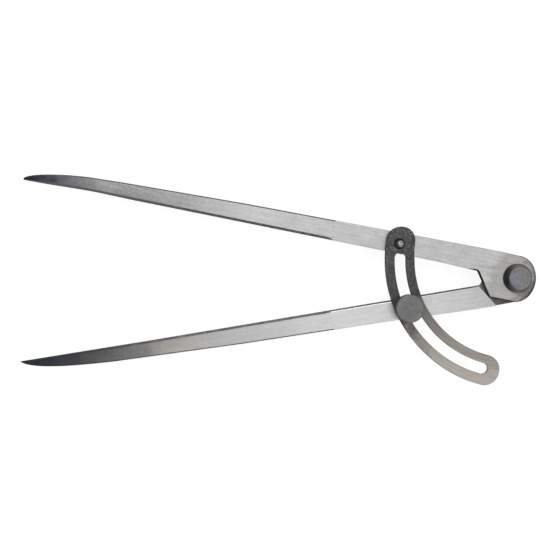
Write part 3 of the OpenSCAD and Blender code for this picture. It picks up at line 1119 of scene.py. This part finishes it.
def make_arc_rivet():
    low, high = RIVET_LOW.z, RIVET_HIGH.z
    shank = RIVET_D / 2
    dome_r = (RIVET_HIGH.x - RIVET_LOW.x) / 2
    dome_h = high - ARC_FRONT_Z
    sphere = (dome_r ** 2 + dome_h ** 2) / (2 * dome_h)
    sweep = degrees(asin(dome_r / sphere))
    dome = arc_points((0, high - sphere), sphere, 90 - sweep, 90, DOME_STEPS)
    profile = [(0, low), (TAIL_R - TAIL_EDGE, low), (TAIL_R, low + TAIL_EDGE), (shank, low + TAIL_H)]
    profile += [(shank, ARC_FRONT_Z), (dome_r - DOME_SET_IN, ARC_FRONT_Z), *dome[1:-1], (0, high)]
    # The worn bright spot is moved towards +X, so the dome's left side stays dark as painted shade
    metal = hammered_steel("rivet_metal", RIVET_AT + Vector((DOME_SHADE_SHIFT, 0, 0)), BRIGHT_R)
    shape = turned(profile, [0] * (len(profile) - 1), SMALL_STEPS)
    rivet = shape.piece("arc_rivet_dome", [metal], Matrix.Translation((RIVET_AT.x, RIVET_AT.y, 0)))
    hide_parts("arc_rivet")
    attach(rivet, "root")


# The clamp

OVER_SCREW = Matrix.Translation((KNOB_AT.x, KNOB_AT.y, 0))
STUB_R = 2
STUB_H = 3
# Knurl: grooves that lean each way, their depth, half their share of the pitch, and rows up the flank
KNURLS = 64
KNURL_DEPTH = 0.22
KNURL_HALF = 0.32
KNURL_ROWS = 18
KNURL_END = 0.15
CHAMFER = 0.5
# The knob's two chamfered rims and its dished top, as distances inside its radius and its height
FOOT = ((0.6, 0), (0.5, 0.04))
CROWN = ((0.47, 0.05), (0.58, 0), (1.25, 0.02), (1.5, 0.10))


def make_knob():
    """The knob: a knurled rim between two chamfers, and a faintly dished top."""
    radius = (KNOB_HIGH.x - KNOB_LOW.x) / 2
    height = KNOB_HIGH.z - KNOB_LOW.z
    rows = KNURL_ROWS
    profile = [(STUB_R, 0)] + [(radius - inset, z) for inset, z in FOOT]
    first, last = len(profile), len(profile) + rows
    profile += [(radius, mix(CHAMFER, height - CHAMFER, n / rows)) for n in range(rows + 1)]
    profile += [(radius - inset, height - drop) for inset, drop in CROWN]
    profile += [(0, profile[-1][1])]

    def radius_at(k, angle):
        r, z = profile[k]
        if k < first or k > last:
            return r
        turns = angle / (2 * pi) * KNURLS
        climb = (z - CHAMFER) / (2 * pi * radius) * KNURLS
        valley = max(ridge(turns + climb), ridge(turns - climb))
        fade = smooth(min(k - first, last - k) / 2 + KNURL_END)
        return r - KNURL_DEPTH * valley * fade

    top, rim, knurl = 0, 1, 2
    marks = [top, rim, rim] + [knurl] * rows + [rim] * 3 + [top] * 2
    shape = turned(profile, marks, KNURLS * 6, radius_at)
    finishes = [
        turned_steel("knob_face", KNOB_AT, 106, ring_depth=0.2, cool=(-14, 2)),
        turned_steel("knob_rim", KNOB_AT, 106, ring_depth=0.1),
        # The knurl's dark tone is partly its blackened finish and partly painted shade of the knob's flank
        black_oxide("knob_knurl", 66, 0.45, worn=0.35),
    ]
    knob = shape.piece("knob_knurled", finishes, Matrix.Translation((KNOB_AT.x, KNOB_AT.y, KNOB_LOW.z)))
    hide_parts("clamp_knob")
    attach(knob, "clamp")


def ridge(turns):
    """Depth of a V-shaped groove, from 0 at its shoulders to 1 in its middle."""
    place = turns % 1
    return max(0, 1 - abs(place - 0.5) / KNURL_HALF)


# Thread of the screw: rows for each turn, and the chamfer and the step at its ends
THREAD_R = 1.95
THREAD_PITCH = 0.7
THREAD_DEPTH = 0.36
THREAD_ROWS = 12
THREAD_CHAMFER = 0.3
THREAD_END = 0.05
# How the thread's flanks are cut: their slope, and how flat the crest is
FLANK_SLOPE, CREST = 1.15, 0.05
WAIST_R = 1.25
WAIST_DROP = 1.7
SCREW_END_GAP = 0.3
STUB_END_GAP = 0.1


def make_screw():
    """The clamp screw: a cut thread, a plain waist and the stub that holds the knob."""
    low = LEG_BACK_Z + SCREW_END_GAP
    waist = LEG_FRONT_Z - WAIST_DROP
    stub = KNOB_LOW.z + STUB_H - STUB_END_GAP
    root_r = THREAD_R - THREAD_DEPTH
    rows = int((waist - low) / THREAD_PITCH * THREAD_ROWS)
    thread = [(THREAD_R, mix(low, waist, n / rows)) for n in range(rows + 1)]
    profile = [(0, low), (root_r - THREAD_END, low), *thread[1:-1], (WAIST_R, waist)]
    profile += [(WAIST_R, KNOB_LOW.z), (STUB_R, KNOB_LOW.z), (STUB_R, stub), (0, stub)]

    def radius_at(k, angle):
        r, z = profile[k]
        if k < 2 or k > rows:
            return r
        turns = z / THREAD_PITCH - angle / (2 * pi)
        flank = abs((turns % 1) - 0.5) * 2
        end = root_r + min(z - low, waist - z) * THREAD_DEPTH / THREAD_CHAMFER
        return min(THREAD_R - THREAD_DEPTH * clamp(flank * FLANK_SLOPE - CREST), max(end, root_r))

    shape = turned(profile, [0] * (len(profile) - 1), SMALL_STEPS, radius_at)
    screw = shape.piece("clamp_screw_thread", [black_oxide("screw_metal", 96, 0.36, worn=0.4)], OVER_SCREW)
    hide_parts("clamp_screw")
    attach(screw, "clamp")


CLAMP_HOLE_R = 2.15
CLAMP_EDGE = 0.12
CLAMP_STEPS = 72


def make_clamp_washer():
    low, high = frame_box("clamp_washer")
    radius = (high.x - low.x) / 2
    hole_r, edge = CLAMP_HOLE_R, CLAMP_EDGE
    half = [(hole_r, edge), (hole_r + edge, 0), (radius - edge, 0), (radius, edge)]
    profile = both_ends(half, low.z, high.z)
    profile.append(profile[0])
    shape = turned(profile, [0] * 8, CLAMP_STEPS)
    washer = shape.piece("clamp_ring", [plain_metal("washer_metal", grey(150), 0.35)], OVER_SCREW)
    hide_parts("clamp_washer")
    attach(washer, "clamp_washer")


# Floor, light and camera

FLOOR_HALF = 3.0
FLOOR_TONE = 0.2
FLOOR_GLOW = 0.86


def make_floor():
    """A plain white floor that keeps the compass's soft shadow."""
    mesh = bpy.data.meshes.new("floor")
    corners = [(x * FLOOR_HALF, y * FLOOR_HALF, 0) for x, y in ((-1, -1), (1, -1), (1, 1), (-1, 1))]
    mesh.from_pydata(corners, [], [(0, 1, 2, 3)])
    floor = new_object("floor", mesh)
    material = bpy.data.materials.new("floor_white")
    material.use_nodes = True
    tree = material.node_tree
    tree.nodes.clear()
    matt = make_node(tree, "BsdfDiffuse", inputs={"Color": (FLOOR_TONE, FLOOR_TONE, FLOOR_TONE, 1)})
    glow = make_node(tree, "Emission", inputs={"Strength": seen_share(tree, FLOOR_GLOW)})
    total = make_node(tree, "AddShader", inputs={0: matt.outputs[0], 1: glow.outputs[0]})
    make_node(tree, "OutputMaterial", inputs={"Surface": total.outputs[0]})
    mesh.materials.append(material)


def seen_share(tree, amount):
    """That amount for camera, glossy and transmission rays, and nothing for any other."""
    path = make_node(tree, "LightPath")
    value = path.outputs["Is Camera Ray"]
    for name in ("Is Glossy Ray", "Is Transmission Ray"):
        inputs = {0: value, 1: path.outputs[name]}
        value = make_node(tree, "Math", {"operation": "MAXIMUM"}, inputs).outputs[0]
    return make_node(tree, "Math", {"operation": "MULTIPLY"}, {0: value, 1: amount}).outputs[0]


# Strength of the surround at the horizon and overhead, and how high it stops growing
SKY_LOW = 0.55
SKY_HIGH = 0.95
SKY_TURN = 0.9


def make_world():
    """A soft grey surround, lighter overhead."""
    world = bpy.data.worlds.new("studio")
    bpy.context.scene.world = world
    world.use_nodes = True
    tree = world.node_tree
    background = tree.nodes["Background"]
    background.inputs["Color"].default_value = (1, 1, 1, 1)
    place = make_node(tree, "TexCoord").outputs["Generated"]
    up = make_node(tree, "SeparateXYZ", inputs={0: place}).outputs[2]
    inputs = {"Value": up, "From Min": 0.0, "From Max": SKY_TURN, "To Min": SKY_LOW, "To Max": SKY_HIGH}
    height = make_node(tree, "MapRange", inputs=inputs)
    tree.links.new(height.outputs[0], background.inputs["Strength"])


# The place that the lamps face, and each lamp's name, place, size and power
LIT_PLACE = Vector((-0.116, 0, 0.01))
LAMPS = (("key", (-0.35, 0.75, 1.1), 0.7, 5.5), ("fill", (0.55, -0.5, 0.9), 0.8, 2.0))


def make_lamp(name, at, size, power):
    data = bpy.data.lights.new(name, "AREA")
    data.size = size
    data.energy = power
    lamp = new_object(name, data)
    lamp.location = at
    lamp.rotation_euler = (LIT_PLACE - Vector(at)).to_track_quat("-Z", "Y").to_euler()


CAMERA_AT = Vector((-116.46, -0.37, 350 + LEG_FRONT_Z)) * MM
CAMERA_TURN = 0.95
CAMERA_LENS = 47.716
SENSOR_WIDTH = 36
CLIP_START = 0.01


def make_camera():
    data = bpy.data.cameras.new("camera")
    data.lens = CAMERA_LENS
    data.sensor_width = SENSOR_WIDTH
    data.clip_start = CLIP_START
    camera = new_object("camera", data)
    camera.location = CAMERA_AT
    camera.rotation_euler = (0, 0, radians(CAMERA_TURN))
    bpy.context.scene.camera = camera


bpy.context.scene.view_settings.view_transform = "Standard"
make_camera()
make_world()
for lamp in LAMPS:
    make_lamp(*lamp)
make_floor()
make_legs()
make_pivot()
make_arc()
make_arc_rivet()
make_knob()
make_screw()
make_clamp_washer()
